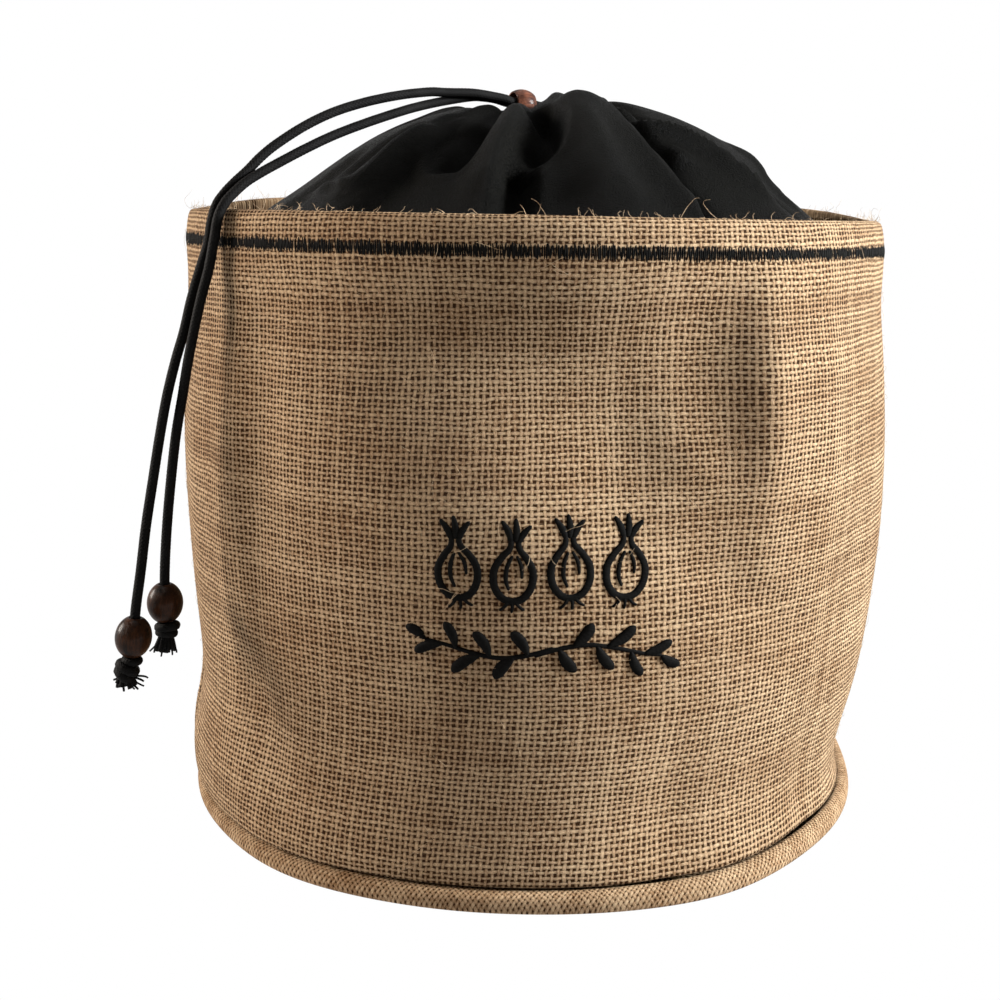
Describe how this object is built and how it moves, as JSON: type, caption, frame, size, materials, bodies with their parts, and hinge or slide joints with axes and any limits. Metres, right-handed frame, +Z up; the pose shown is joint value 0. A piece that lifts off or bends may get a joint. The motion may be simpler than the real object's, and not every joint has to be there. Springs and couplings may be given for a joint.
{
  "type": "drawstring onion storage bag",
  "caption": "Round hessian storage tub with a turned-in rim, a gathered black cotton drawstring top and hanging beaded cord tails.",
  "frame": {"origin": "on the underside of the base panel, below the middle of the rim", "axes": "+Z up through the mouth, the bag's front faces -Y, the cord tails hang on the -X side"},
  "size_m": [0.26, 0.2565, 0.2494],
  "materials": {
    "jute": "coarse natural hessian, matt",
    "black_cotton": "smooth black cotton, soft sheen",
    "black_cord": "braided black cord",
    "red_wood": "polished reddish wood",
    "dark_wood": "polished dark brown wood"
  },
  "bodies": {
    "root": {"base_disc": "jute", "base_welt": "jute", "jute_wall": "jute", "closure_panel": "black_cotton", "draw_loop": "black_cord", "toggle_bead": "red_wood", "cord_tail_long": "black_cord", "end_bead_long": "dark_wood", "cord_knot_long": "black_cord", "cord_tail_short": "black_cord", "end_bead_short": "dark_wood", "cord_knot_short": "black_cord"}
  },
  "joints": []
}
